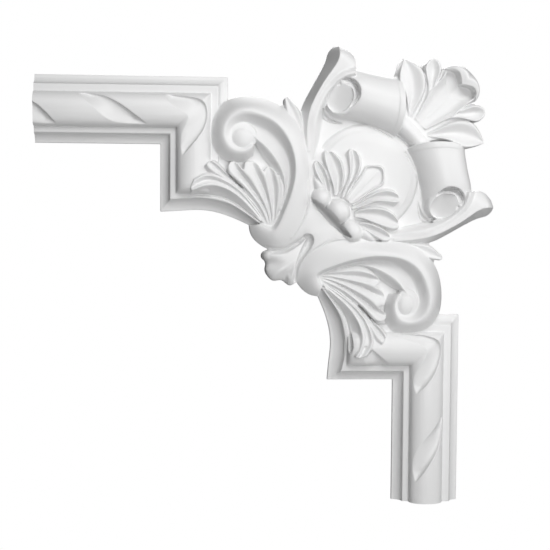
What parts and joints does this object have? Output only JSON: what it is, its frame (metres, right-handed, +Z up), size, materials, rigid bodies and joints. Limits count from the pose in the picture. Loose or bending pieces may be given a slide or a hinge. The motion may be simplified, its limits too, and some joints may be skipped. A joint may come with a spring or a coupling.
{
  "type": "polyurethane corner piece",
  "caption": "Decorative cast corner piece for wall or ceiling mouldings, with two moulded arms, a scrolled and leafed corner ornament, a palmette and a shell leaf.",
  "frame": {"origin": "on the flat back, where the centre lines of the two arms cross, which is the point that lies on the wall under the corner", "axes": "+Z up, +X to the right, relief faces -Y, the flat back faces +Y onto the wall; one arm runs along -X and the other along -Z"},
  "size_m": [0.3081, 0.0264, 0.3081],
  "materials": {
    "white_polyurethane": "factory-primed white, satin"
  },
  "bodies": {
    "root": {"corner_ornament": "white_polyurethane"}
  },
  "joints": []
}
